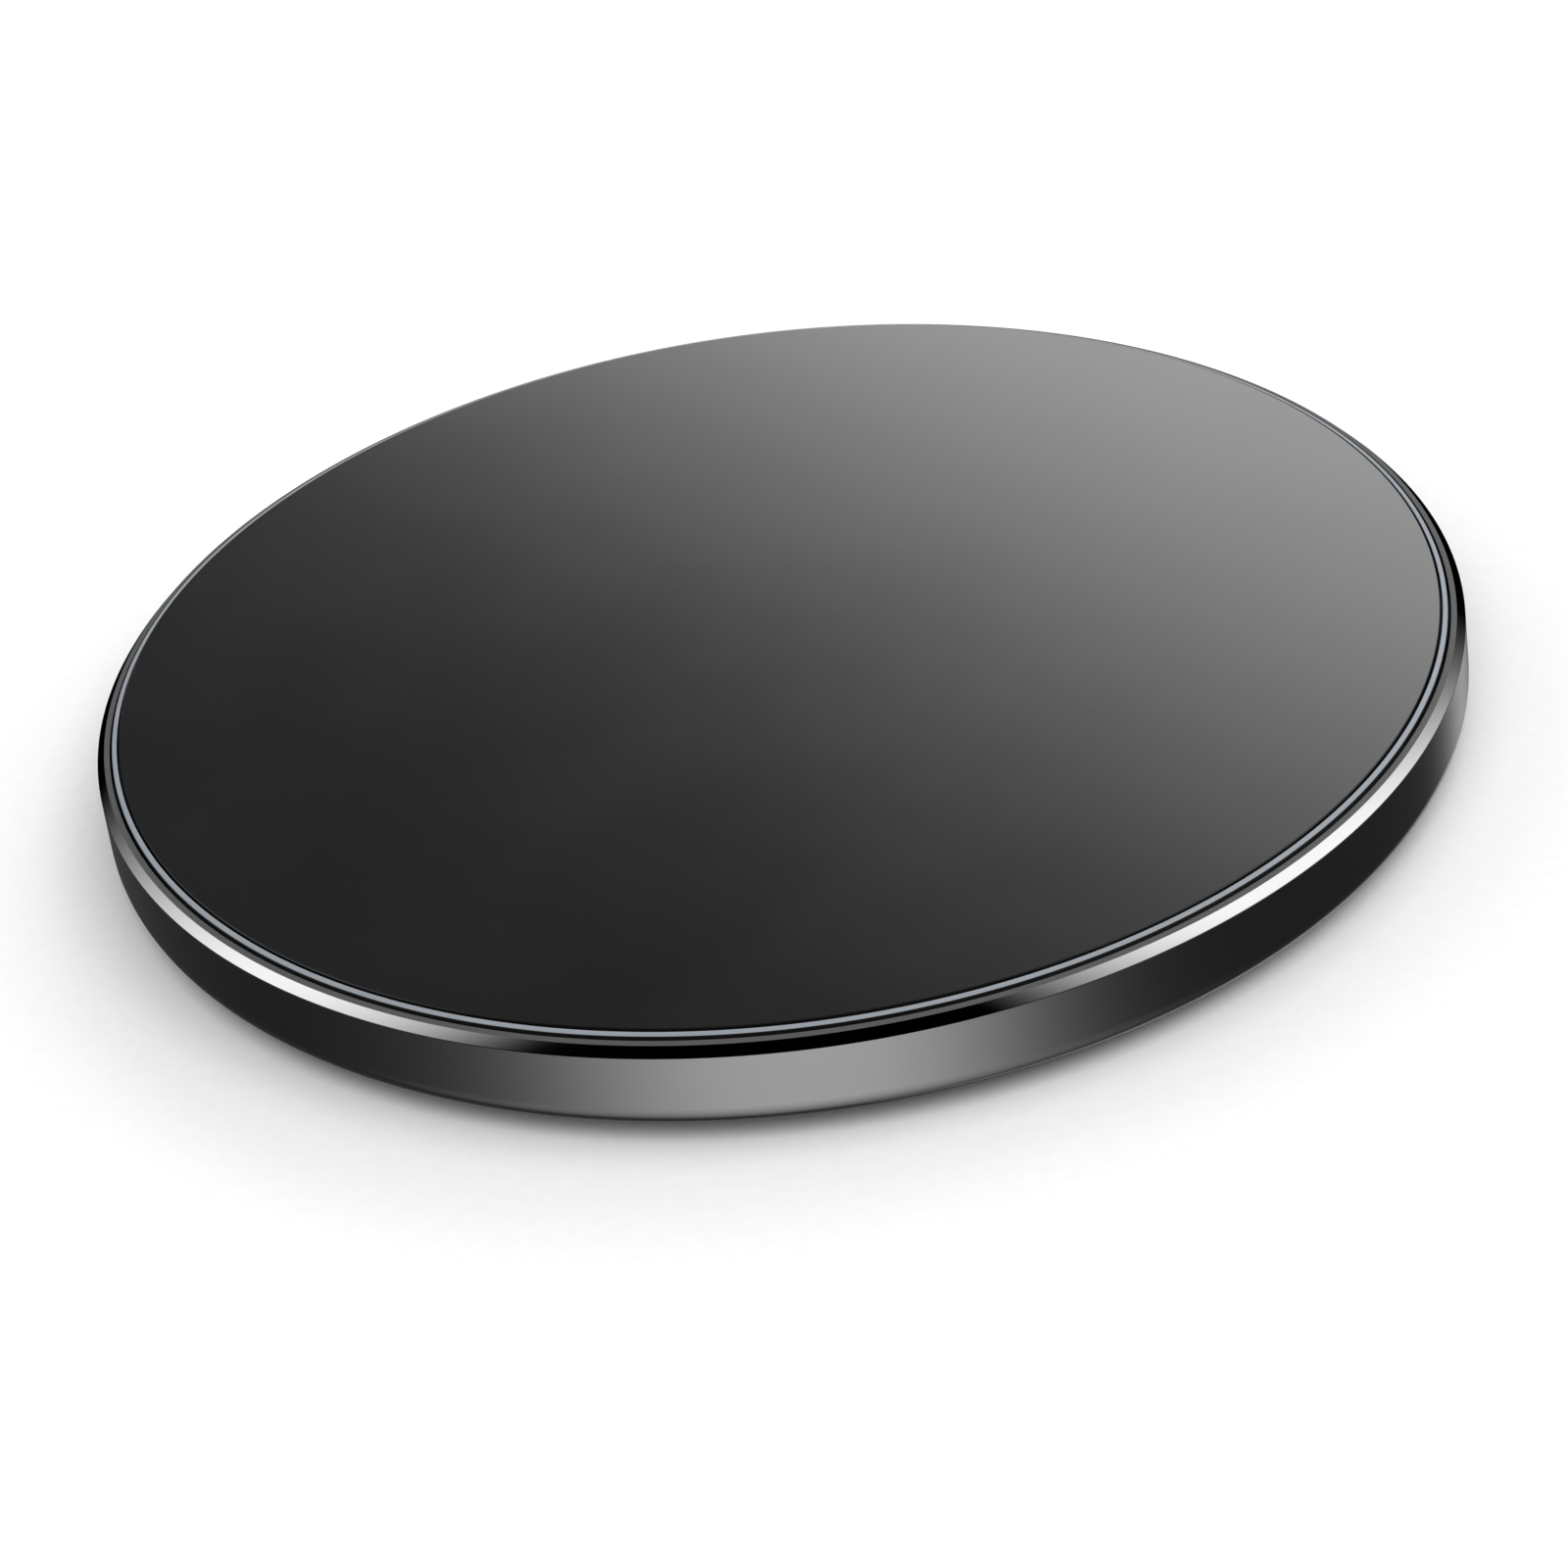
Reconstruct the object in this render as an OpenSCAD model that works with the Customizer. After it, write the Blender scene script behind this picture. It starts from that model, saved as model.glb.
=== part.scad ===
// Round wireless charging pad: a glass disc and a light ring in a turned aluminium frame, with its
// coil, board and power inlet inside.
// Origin: centre of the foot ring's contact plane. +Z is up and +Y points out of the power inlet.

/* [Overall] */
// Outside diameter of the pad
pad_d = 100; // [98:1:108]
// Height from the table to the charging surface
pad_h = 8; // [8:0.1:9]

/* [Top rim] */
// Thickness of the glass panel
panel_t = 1; // [0.7:0.05:1]
// Width of the dark gap between panel and light ring
panel_gap = 0.16; // [0.1:0.02:0.24]
// Width of the light ring's visible face
ring_face_w = 0.37; // [0.3:0.01:0.45]
// How far the light ring's inner edge lies below the panel
ring_drop = 0.1; // [0.02:0.02:0.16]
// How much the light ring's face falls away outwards
ring_fall = 0.16; // [0:0.02:0.2]
// Width of the groove between light ring and frame lip
groove_w = 0.2; // [0.15:0.05:0.3]
// Width of the frame's lip
lip_w = 0.42; // [0.3:0.02:0.5]
// How far the lip's inner edge lies below the panel
lip_drop = 0.41; // [0.3:0.01:0.5]
// How much the lip falls away outwards
lip_fall = 0.14; // [0.04:0.02:0.2]
// Width of the bright chamfer, along the radius
chamfer_w = 0.6; // [0.4:0.05:0.8]
// Height of the bright chamfer
chamfer_h = 0.63; // [0.4:0.01:0.8]

/* [Frame and cover] */
// Thickness of the frame's wall
frame_wall = 2.4; // [2.2:0.1:2.6]
// Radius of the frame's rounded lower edge
bottom_round = 2; // [1:0.1:2.1]
// Height of the frame's underside above the table
frame_lift = 0.75; // [0.7:0.05:1.2]
// How far the foot ring stands out below the cover
foot_proud = 0.8; // [0.5:0.1:1]
// Width of the foot ring
foot_w = 4.8; // [4:0.1:5]

/* [Power inlet] */
// Width of the inlet's steel shell
usb_w = 8.94; // [8.9:0.01:9]
// Height of the inlet's steel shell
usb_h = 3.16; // [3.1:0.01:3.2]
// Clearance between shell and frame, all round
usb_gap = 0.18; // [0.1:0.02:0.2]

/* [Coil] */
// Outside diameter of the coil
coil_od = 44; // [42:0.5:45]
// Inside diameter of the coil
coil_id = 21; // [20:0.5:24]
// Number of turns
coil_turns = 10; // [8:1:10]
// Width of the wire
wire_w = 0.95; // [0.7:0.05:0.95]

/* [Lights] */
// Number of status lights that feed the light ring
light_count = 8; // [4:4:8]

/* [Hidden] */
$fn = 96;

// A little extra, so that a cutter runs past the face it cuts
eps = 0.01;
past = 1;

// Small clearances
cover_gap = 0.1;
adhesive_inset = 0.8;
lamp_gap = 0.25;

// Radii, from the outside in
pad_r = pad_d / 2;
lip_outer_r = pad_r - chamfer_w;
lip_inner_r = lip_outer_r - lip_w;
ring_outer_r = lip_inner_r - groove_w;
ring_inner_r = ring_outer_r - ring_face_w;
panel_r = ring_inner_r - panel_gap;
frame_bore_r = pad_r - frame_wall;
cover_r = frame_bore_r - cover_gap;
adhesive_r = panel_r - adhesive_inset;
flange_inner_r = pad_r - 10;
board_r = pad_r - 7;
board_hole_r = 27.6;
lug_pos_r = pad_r - 6;
lug_r = 2;
light_pos_r = pad_r - 8.8;
spreader_r = pad_r - 11;
foot_mid_r = lug_pos_r;

// Heights, from the table up
cover_bottom_z = foot_proud;
cover_top_z = 2.2;
foot_top_z = cover_bottom_z + 0.4;
spreader_t = 0.15;
board_z = 3.2;
board_t = 1;
board_top_z = board_z + board_t;
carrier_z = 3.5;
carrier_t = 0.6;
ferrite_z = carrier_z + carrier_t;
ferrite_t = 1.3;
coil_z = ferrite_z + ferrite_t;
coil_t = 1.2;
tape_z = coil_z + coil_t;
tape_t = 0.1;
ledge_z = 6.15;
flange_t = 0.7;
adhesive_t = 0.15;
panel_z = pad_h - panel_t;
adhesive_z = panel_z - adhesive_t;
lip_z = pad_h - lip_drop;
chamfer_top_z = lip_z - lip_fall;
chamfer_bottom_z = chamfer_top_z - chamfer_h;
ring_top_z = pad_h - ring_drop;

// Places round the pad, in degrees from +X
LUG_ANGLES = [45, 135, 225, 315];
STANDOFF_ANGLES = [30, 150, 270];
LIGHT_ANGLES = [for (i = [0 : light_count - 1]) (i + 0.5) * 360 / light_count];

// Screws
case_screw_r = 0.75;
case_head_r = 1.5;
case_head_h = 0.55;
case_head_floor_z = foot_top_z + 0.6;
board_screw_r = 0.68;
board_head_r = 1.4;
board_head_h = 0.8;
standoff_pos_r = 34;
standoff_r = 2.2;
recess_arm = 0.35;
recess_span = 1.82;
case_recess_depth = 0.3;
board_recess_depth = 0.4;

// Power inlet
usb_z = 4;
usb_back_y = pad_r - 8;
usb_mouth_y = pad_r - 0.7;
usb_wall = 0.3;
tongue_w = 6.69;
tongue_t = 0.7;
tongue_tip_y = usb_mouth_y - 1;
tongue_root_y = usb_back_y + 2;
contact_pitch = 0.5;
contact_count = 12;
contact_w = 0.25;
contact_t = 0.06;

// Coil and its leads
coil_inner_r = coil_id / 2;
coil_outer_r = coil_od / 2;
coil_pitch = (coil_outer_r - coil_inner_r - wire_w) / coil_turns;
spiral_step = 12;
ferrite_r = 25.2;
carrier_wall_r = ferrite_r + 0.4;
carrier_r = 26.9;
carrier_flange_r = 29.6;
lead_r = 0.4;
bend_extra = 0.03;
inner_lead_y = 0.45;
outer_lead_y = 2.2;
lead_end_x = 30.5;
lead_z = board_top_z + lead_r + 0.1;
thermistor_r = 0.9;
thermistor_z = 4.9;
thermistor_lead_r = 0.15;
thermistor_lead_y = 0.35;
thermistor_lead_z = board_top_z + thermistor_lead_r;

// Board parts: [distance from the centre, angle] of each
CONTROLLER_AT = [35, 60];
CRYSTAL_AT = [35, 42];
CHOKE_AT = [34.5, 122];
TRANSISTORS_AT = [for (r = [32.6, 37]) for (a = [-32, -40]) [r, a]];
RESONANT_AT = [for (i = [0 : 3]) [35, -58 - 6 * i]];
FILTER_AT = [for (i = [0 : 4]) [36.5, 80 + 6 * i]];
RESISTORS_AT = [for (r = [33, 37]) for (i = [0 : 4]) [r, 196 + 9 * i]];
THERMAL_PAD_AT = [34.8, -36];

// Size of each board part: [length, width, height]
CONTROLLER_SIZE = [7, 7, 1.4];
CRYSTAL_SIZE = [3.2, 2.5, 0.7];
CHOKE_SIZE = [6, 6, 2.2];
TRANSISTOR_SIZE = [3.3, 3.3, 0.9];
RESONANT_SIZE = [3.2, 2.5, 2];
FILTER_SIZE = [2, 1.25, 1.25];
RESISTOR_SIZE = [1.6, 0.8, 0.5];
LIGHT_SIZE = [1.4, 2.8, 0.6];
THERMAL_PAD_SIZE = [10, 9];
resonant_cap = 0.5;
filter_cap = 0.35;
choke_floor = 0.4;
controller_stand_off = 0.1;
pins_per_side = 8;
pin_pitch = 0.8;
pin_size = [1, 0.35, 0.15];

// ---- helpers ----

// Places its children at a distance and angle from the centre, turned to face outwards
module at(place, z = 0) {
    rotate([0, 0, place[1]])
        translate([place[0], 0, z])
            children();
}

// A block centred in plan, standing on its base
module block(size) {
    translate([-size[0] / 2, -size[1] / 2, 0])
        cube(size);
}

// A flat-ended stadium of this width and height, lying along Y from y0 to y1
module stadium_bar(w, h, y0, y1) {
    translate([0, y0, usb_z])
        rotate([-90, 0, 0])
            linear_extrude(y1 - y0) {
                square([w - h, h], center = true);
                for (side = [-1, 1])
                    translate([side * (w - h) / 2, 0])
                        circle(d = h);
            }
}

// A round wire from one point to another, with a slightly fuller ball at the first for the bend
module wire(from, to, r) {
    run = to - from;
    tilt = acos(run[2] / norm(run));
    turn = atan2(run[1], run[0]);
    translate(from) {
        rotate([0, tilt, turn])
            cylinder(r = r, h = norm(run), $fn = 32);
        sphere(r = r + bend_extra, $fn = 32);
    }
}

// The middle part of a chip component
module chip_body(size, cap) {
    block([size[0] - 2 * cap, size[1], size[2]]);
}

// The two metal ends of a chip component
module chip_ends(size, cap) {
    for (side = [-1, 1])
        translate([side * (size[0] - cap) / 2, 0, 0])
            block([cap, size[1], size[2]]);
}

// A cross-shaped driver recess, cut downwards from z = 0
module cross_recess(depth) {
    for (turn = [0, 90])
        rotate([0, 0, turn])
            translate([0, 0, -depth])
                block([recess_span, recess_arm, depth + past]);
}

// One point of the coil's spiral, on the wire's inner (-1) or outer (1) edge
function spiral_point(a, side) =
    let (r = coil_inner_r + wire_w / 2 + coil_pitch * a / 360 + side * wire_w / 2)
    [r * cos(a), r * sin(a)];

// ---- what the user sees ----

// Glass disc with a fine bevel round its top edge
module top_panel() {
    bevel = 0.06;
    color([0.05, 0.05, 0.055])
        rotate_extrude()
            polygon([
                [0, panel_z], [panel_r, panel_z], [panel_r, pad_h - bevel],
                [panel_r - bevel, pad_h], [0, pad_h]
            ]);
}

// Translucent light guide: a flat flange under the panel, a thin upstand round it,
// and one foot over each light
module light_ring() {
    inner_bevel = 0.05;
    foot_r = 1;
    foot_z = board_top_z + LIGHT_SIZE[2] + lamp_gap;
    color([0.55, 0.62, 0.68]) {
        rotate_extrude()
            polygon([
                [flange_inner_r, ledge_z], [ring_outer_r, ledge_z],
                [ring_outer_r, ring_top_z - ring_fall],
                [ring_inner_r + inner_bevel, ring_top_z],
                [ring_inner_r, ring_top_z - inner_bevel],
                [ring_inner_r, ledge_z + flange_t], [flange_inner_r, ledge_z + flange_t]
            ]);
        for (a = LIGHT_ANGLES)
            at([light_pos_r, a], foot_z)
                cylinder(r = foot_r, h = ledge_z + eps - foot_z);
    }
}

// Outline of the frame's wall: rounded foot, plain side, chamfer, lip that falls away
// outwards and inner ledge
module frame_section() {
    lip_bevel = 0.04;
    difference() {
        union() {
            translate([frame_bore_r, frame_lift])
                square([frame_wall - bottom_round, bottom_round + eps]);
            translate([pad_r - bottom_round, frame_lift + bottom_round])
                circle(r = bottom_round);
            polygon([
                [frame_bore_r, frame_lift + bottom_round], [pad_r, frame_lift + bottom_round],
                [pad_r, chamfer_bottom_z], [lip_outer_r, chamfer_top_z], [lip_inner_r + lip_bevel, lip_z],
                [lip_inner_r, lip_z - lip_bevel], [lip_inner_r, ledge_z], [frame_bore_r, ledge_z]
            ]);
        }
        translate([0, frame_lift])
            square([frame_bore_r, pad_h]);
    }
}

// Turned ring with four tapped lugs for the case screws and a slot for the power inlet
module housing_frame() {
    lug_h = ledge_z - cover_top_z;
    web_w = 2.4;
    web_bite = 0.5;
    web = [frame_bore_r - lug_pos_r + web_bite, web_w, lug_h];
    tapped_r = case_screw_r + 0.1;
    tapped_depth = 3.4;
    color([0.16, 0.16, 0.17])
        difference() {
            union() {
                rotate_extrude()
                    frame_section();
                for (a = LUG_ANGLES)
                    at([lug_pos_r, a], cover_top_z) {
                        cylinder(r = lug_r, h = lug_h);
                        translate([0, -web[1] / 2, 0])
                            cube(web);
                    }
            }
            stadium_bar(usb_w + 2 * usb_gap, usb_h + 2 * usb_gap, frame_bore_r - past, pad_r + past);
            for (a = LUG_ANGLES)
                at([lug_pos_r, a], cover_top_z - past)
                    cylinder(r = tapped_r, h = tapped_depth + past);
        }
}

// ---- underside ----

// Moulded plate with a groove for the foot ring, sunk screw holes, a shallow round recess
// and three standoffs
module bottom_cover() {
    edge = 0.3;
    groove_clear = 0.1;
    groove_in = foot_mid_r - foot_w / 2 - groove_clear;
    groove_out = foot_mid_r + foot_w / 2 + groove_clear;
    recess_r = 34;
    recess_depth = 0.2;
    hole_r = case_screw_r + 0.2;
    sink_r = case_head_r + 0.2;
    pilot_r = board_screw_r + 0.1;
    pilot_z = 1.6;
    color([0.09, 0.09, 0.1])
        difference() {
            union() {
                rotate_extrude()
                    polygon([
                        [0, cover_bottom_z + recess_depth],
                        [recess_r - recess_depth, cover_bottom_z + recess_depth],
                        [recess_r, cover_bottom_z], [groove_in, cover_bottom_z],
                        [groove_in, foot_top_z], [groove_out, foot_top_z],
                        [groove_out, cover_bottom_z], [cover_r - edge, cover_bottom_z],
                        [cover_r, cover_bottom_z + edge], [cover_r, cover_top_z], [0, cover_top_z]
                    ]);
                for (a = STANDOFF_ANGLES)
                    at([standoff_pos_r, a], cover_top_z - eps)
                        cylinder(r = standoff_r, h = board_z - cover_top_z + eps);
            }
            for (a = LUG_ANGLES)
                at([lug_pos_r, a]) {
                    cylinder(r = hole_r, h = board_z);
                    cylinder(r = sink_r, h = case_head_floor_z);
                }
            for (a = STANDOFF_ANGLES)
                at([standoff_pos_r, a], pilot_z)
                    cylinder(r = pilot_r, h = board_z);
        }
}

// Soft ring with rounded lower edges and three grip grooves
module foot_ring() {
    edge = 0.3;
    grip_w = 0.5;
    grip_depth = 0.2;
    grip_pitch = 1.2;
    inner = foot_mid_r - foot_w / 2;
    outer = foot_mid_r + foot_w / 2;
    color([0.12, 0.12, 0.12])
        difference() {
            rotate_extrude() {
                translate([inner, edge])
                    square([foot_w, foot_top_z - edge]);
                translate([inner + edge, 0])
                    square([foot_w - 2 * edge, edge + eps]);
                translate([inner + edge, edge])
                    circle(r = edge);
                translate([outer - edge, edge])
                    circle(r = edge);
            }
            for (i = [-1 : 1])
                rotate_extrude()
                    translate([foot_mid_r + i * grip_pitch - grip_w / 2, -past])
                        square([grip_w, past + grip_depth]);
        }
}

// Four screws up through the cover into the frame's lugs
module case_screws() {
    tip_z = 5.3;
    color([0.55, 0.55, 0.57])
        for (a = LUG_ANGLES)
            at([lug_pos_r, a])
                difference() {
                    union() {
                        translate([0, 0, case_head_floor_z - case_head_h])
                            cylinder(r = case_head_r, h = case_head_h);
                        translate([0, 0, case_head_floor_z - eps])
                            cylinder(r = case_screw_r, h = tip_z - case_head_floor_z + eps);
                    }
                    translate([0, 0, case_head_floor_z - case_head_h])
                        mirror([0, 0, 1])
                            cross_recess(case_recess_depth);
                }
}

// Film between the panel and the light ring's flange
module panel_adhesive() {
    color([0.25, 0.25, 0.25])
        translate([0, 0, adhesive_z])
            cylinder(r = adhesive_r, h = adhesive_t);
}

// ---- board ----

// Ring-shaped board with notches for the lugs and a tab that carries the inlet
module main_board() {
    tab_w = 16;
    tab_y = pad_r - 3.5;
    notch_w = usb_w + 0.5;
    notch_r = lug_r + 0.6;
    screw_hole_r = 0.95;
    color([0.07, 0.3, 0.17])
        translate([0, 0, board_z])
            linear_extrude(board_t)
                difference() {
                    union() {
                        circle(r = board_r);
                        translate([-tab_w / 2, 0])
                            square([tab_w, tab_y]);
                    }
                    circle(r = board_hole_r);
                    translate([-notch_w / 2, usb_back_y - 0.2])
                        square([notch_w, pad_r]);
                    for (a = LUG_ANGLES)
                        at([lug_pos_r, a])
                            circle(r = notch_r);
                    for (a = STANDOFF_ANGLES)
                        at([standoff_pos_r, a])
                            circle(r = screw_hole_r);
                }
}

// Three screws down through the board into the cover's standoffs
module board_screws() {
    tip_z = 1.8;
    color([0.7, 0.7, 0.7])
        for (a = STANDOFF_ANGLES)
            at([standoff_pos_r, a])
                difference() {
                    union() {
                        translate([0, 0, board_top_z])
                            cylinder(r = board_head_r, h = board_head_h);
                        translate([0, 0, tip_z])
                            cylinder(r = board_screw_r, h = board_top_z + eps - tip_z);
                    }
                    translate([0, 0, board_top_z + board_head_h])
                        cross_recess(board_recess_depth);
                }
}

// Open-ended steel shell of the inlet, with two solder tabs on the board
module usb_shell() {
    tab = [1.8, 1.6, 0.25];
    tab_y = usb_back_y + 1;
    inset = 0.1;
    color([0.72, 0.72, 0.74]) {
        difference() {
            stadium_bar(usb_w, usb_h, usb_back_y, usb_mouth_y);
            stadium_bar(
                usb_w - 2 * usb_wall, usb_h - 2 * usb_wall, usb_back_y - past, usb_mouth_y + past
            );
        }
        for (side = [-1, 1])
            translate([side * (usb_w / 2 - inset + tab[0] / 2), tab_y + tab[1] / 2, board_top_z])
                block(tab);
    }
}

// Plastic insulator: a block that fills the shell's back and a thin tongue towards the mouth
module usb_tongue() {
    slack = 0.04;
    inner_w = usb_w - 2 * usb_wall - 2 * slack;
    inner_h = usb_h - 2 * usb_wall - 2 * slack;
    color([0.06, 0.06, 0.06]) {
        stadium_bar(inner_w, inner_h, usb_back_y, tongue_root_y);
        translate([-tongue_w / 2, tongue_root_y - eps, usb_z - tongue_t / 2])
            cube([tongue_w, tongue_tip_y - tongue_root_y + eps, tongue_t]);
    }
}

// Contacts on both faces of the tongue, and the solder tails behind it
module usb_contacts() {
    margin = 0.2;
    contact_y = tongue_root_y + margin;
    contact_len = tongue_tip_y - contact_y - 2 * margin;
    tail_len = 1.2;
    tail_t = 0.15;
    color([0.83, 0.68, 0.3])
        for (i = [0 : contact_count - 1])
            translate([(i - (contact_count - 1) / 2) * contact_pitch - contact_w / 2, 0, 0]) {
                for (z = [usb_z + tongue_t / 2, usb_z - tongue_t / 2 - contact_t])
                    translate([0, contact_y, z])
                        cube([contact_w, contact_len, contact_t]);
                translate([0, usb_back_y - tail_len, board_top_z])
                    cube([contact_w, tail_len, tail_t]);
            }
}

module controller_chip() {
    color([0.12, 0.12, 0.13])
        at(CONTROLLER_AT, board_top_z + controller_stand_off)
            block(CONTROLLER_SIZE);
}

// A row of flat pins on each side of the controller
module controller_pins() {
    color([0.75, 0.75, 0.75])
        at(CONTROLLER_AT, board_top_z)
            for (side = [0 : 3])
                rotate([0, 0, 90 * side])
                    for (i = [0 : pins_per_side - 1])
                        translate([
                            (CONTROLLER_SIZE[0] + pin_size[0]) / 2,
                            (i - (pins_per_side - 1) / 2) * pin_pitch,
                            0
                        ])
                            block([pin_size[0], pin_size[1], controller_stand_off + pin_size[2]]);
}

module power_transistors() {
    color([0.14, 0.14, 0.14])
        for (place = TRANSISTORS_AT)
            at(place, board_top_z)
                block(TRANSISTOR_SIZE);
}

module resonant_capacitors() {
    color([0.6, 0.52, 0.42])
        for (place = RESONANT_AT)
            at(place, board_top_z)
                chip_body(RESONANT_SIZE, resonant_cap);
}

module capacitor_terminals() {
    color([0.8, 0.8, 0.8])
        for (place = RESONANT_AT)
            at(place, board_top_z)
                chip_ends(RESONANT_SIZE, resonant_cap);
}

module filter_capacitors() {
    color([0.6, 0.48, 0.36])
        for (place = FILTER_AT)
            at(place, board_top_z)
                chip_body(FILTER_SIZE, filter_cap);
}

module filter_terminals() {
    color([0.8, 0.8, 0.8])
        for (place = FILTER_AT)
            at(place, board_top_z)
                chip_ends(FILTER_SIZE, filter_cap);
}

// Square ferrite shield of the choke, with a round well for its core
module choke_shield() {
    well_r = 2.3;
    color([0.22, 0.22, 0.24])
        at(CHOKE_AT, board_top_z)
            difference() {
                block(CHOKE_SIZE);
                translate([0, 0, choke_floor])
                    cylinder(r = well_r, h = CHOKE_SIZE[2]);
            }
}

module choke_core() {
    core_r = 2.1;
    core_drop = 0.1;
    color([0.3, 0.3, 0.32])
        at(CHOKE_AT, board_top_z + choke_floor)
            cylinder(r = core_r, h = CHOKE_SIZE[2] - choke_floor - core_drop);
}

module chip_resistors() {
    color([0.1, 0.1, 0.1])
        for (place = RESISTORS_AT)
            at(place, board_top_z)
                block(RESISTOR_SIZE);
}

module crystal() {
    color([0.8, 0.8, 0.82])
        at(CRYSTAL_AT, board_top_z)
            block(CRYSTAL_SIZE);
}

// White lamp housings under the light ring's feet
module status_lights() {
    color([0.9, 0.9, 0.88])
        for (a = LIGHT_ANGLES)
            at([light_pos_r, a], board_top_z)
                block(LIGHT_SIZE);
}

module light_lenses() {
    lens_r = 0.55;
    lens_t = 0.12;
    color([0.95, 0.9, 0.5])
        for (a = LIGHT_ANGLES)
            at([light_pos_r, a], board_top_z + LIGHT_SIZE[2])
                cylinder(r = lens_r, h = lens_t);
}

// ---- coil stack ----

// Flat spiral of wire, wound outwards from +X
module charging_coil() {
    full = 360 * coil_turns;
    color([0.72, 0.38, 0.2])
        translate([0, 0, coil_z])
            linear_extrude(coil_t)
                polygon(concat(
                    [for (a = [0 : spiral_step : full]) spiral_point(a, 1)],
                    [for (a = [full : -spiral_step : 0]) spiral_point(a, -1)]
                ));
}

// The coil's two ends: the inner one runs out under the coil, the outer one drops to the board
module coil_leads() {
    inner_x = coil_inner_r + wire_w / 2;
    outer_x = coil_outer_r - wire_w / 2;
    mid_z = coil_z + coil_t / 2;
    drop_x = 24.4;
    color([0.75, 0.42, 0.22]) {
        wire([inner_x, inner_lead_y, lead_z], [inner_x, inner_lead_y, coil_z], lead_r);
        wire([inner_x, inner_lead_y, lead_z], [lead_end_x, inner_lead_y, lead_z], lead_r);
        wire([outer_x, outer_lead_y, mid_z], [outer_x, 0, mid_z], lead_r);
        wire([outer_x, outer_lead_y, mid_z], [drop_x, outer_lead_y, mid_z], lead_r);
        wire([drop_x, outer_lead_y, mid_z], [lead_end_x, outer_lead_y, lead_z], lead_r);
    }
}

// Shield behind the coil, slotted for the inner lead and for the thermistor's leads
module ferrite_disc() {
    coil_slot = 1;
    slot_start_x = coil_inner_r - 0.2;
    sensor_slot = 1.4;
    sensor_hole_r = 1.6;
    color([0.2, 0.2, 0.21])
        translate([0, 0, ferrite_z])
            difference() {
                cylinder(r = ferrite_r, h = ferrite_t);
                translate([slot_start_x, inner_lead_y - coil_slot / 2, -past])
                    cube([ferrite_r, coil_slot, ferrite_t + 2 * past]);
                translate([-ferrite_r - past, -sensor_slot / 2, -past])
                    cube([ferrite_r + past, sensor_slot, ferrite_t + 2 * past]);
                translate([0, 0, -past])
                    cylinder(r = sensor_hole_r, h = ferrite_t + 2 * past);
            }
}

// Moulded dish that drops into the board's hole and hangs from its rim by a flange
module coil_carrier() {
    wall_top_z = 6.7;
    flange_h = 0.6;
    coil_gate = [8, outer_lead_y + 2];
    sensor_gate = [8, 2];
    gate_x = ferrite_r - past;
    color([0.85, 0.85, 0.83])
        difference() {
            union() {
                translate([0, 0, carrier_z])
                    cylinder(r = carrier_r, h = wall_top_z - carrier_z);
                translate([0, 0, board_top_z])
                    cylinder(r = carrier_flange_r, h = flange_h);
            }
            translate([0, 0, ferrite_z])
                cylinder(r = carrier_wall_r, h = pad_h);
            translate([gate_x, -past / 2, board_top_z])
                cube([coil_gate[0], coil_gate[1], pad_h]);
            translate([-gate_x - sensor_gate[0], -sensor_gate[1] / 2, board_top_z])
                cube([sensor_gate[0], sensor_gate[1], pad_h]);
        }
}

module coil_tape() {
    margin = 0.8;
    color([0.8, 0.55, 0.15, 0.8])
        translate([0, 0, tape_z])
            difference() {
                cylinder(r = coil_outer_r + margin, h = tape_t);
                translate([0, 0, -past])
                    cylinder(r = coil_inner_r - margin, h = tape_t + 2 * past);
            }
}

// Springy pad between heat spreader and carrier
module foam_pad() {
    foam_r = 16;
    foam_z = cover_top_z + spreader_t;
    color([0.3, 0.3, 0.32])
        translate([0, 0, foam_z])
            cylinder(r = foam_r, h = carrier_z - foam_z);
}

// Sensor bead in the middle of the coil
module thermistor() {
    straight = 1;
    color([0.1, 0.1, 0.1])
        translate([0, 0, thermistor_z]) {
            cylinder(r = thermistor_r, h = straight);
            translate([0, 0, straight])
                intersection() {
                    sphere(r = thermistor_r);
                    translate([0, 0, -eps])
                        cylinder(r = 2 * thermistor_r, h = 2 * thermistor_r);
                }
        }
}

module thermistor_leads() {
    color([0.8, 0.8, 0.8])
        for (side = [-1, 1]) {
            y = side * thermistor_lead_y;
            foot = [0, y, thermistor_lead_z];
            wire(foot, [0, y, thermistor_z], thermistor_lead_r);
            wire(foot, [-lead_end_x, y, thermistor_lead_z], thermistor_lead_r);
        }
}

// Half domes of solder that meet the ends of the coil's and the thermistor's leads
module solder_joints() {
    coil_dome_r = 1;
    sensor_dome_r = 0.3;
    outer_dome_y = outer_lead_y + 0.2;
    color([0.78, 0.78, 0.8])
        intersection() {
            union() {
                for (y = [inner_lead_y, outer_dome_y])
                    translate([lead_end_x, y, board_top_z])
                        sphere(r = min(coil_dome_r, (outer_lead_y - inner_lead_y) / 2));
                for (side = [-1, 1])
                    translate([-lead_end_x, side * thermistor_lead_y, board_top_z])
                        sphere(r = sensor_dome_r);
            }
            difference() {
                translate([0, 0, board_top_z])
                    cylinder(r = board_r, h = 2 * coil_dome_r);
                translate([-lead_end_x, -board_r, 0])
                    cube([2 * lead_end_x, 2 * board_r, pad_h]);
            }
        }
}

// ---- heat path ----

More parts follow.
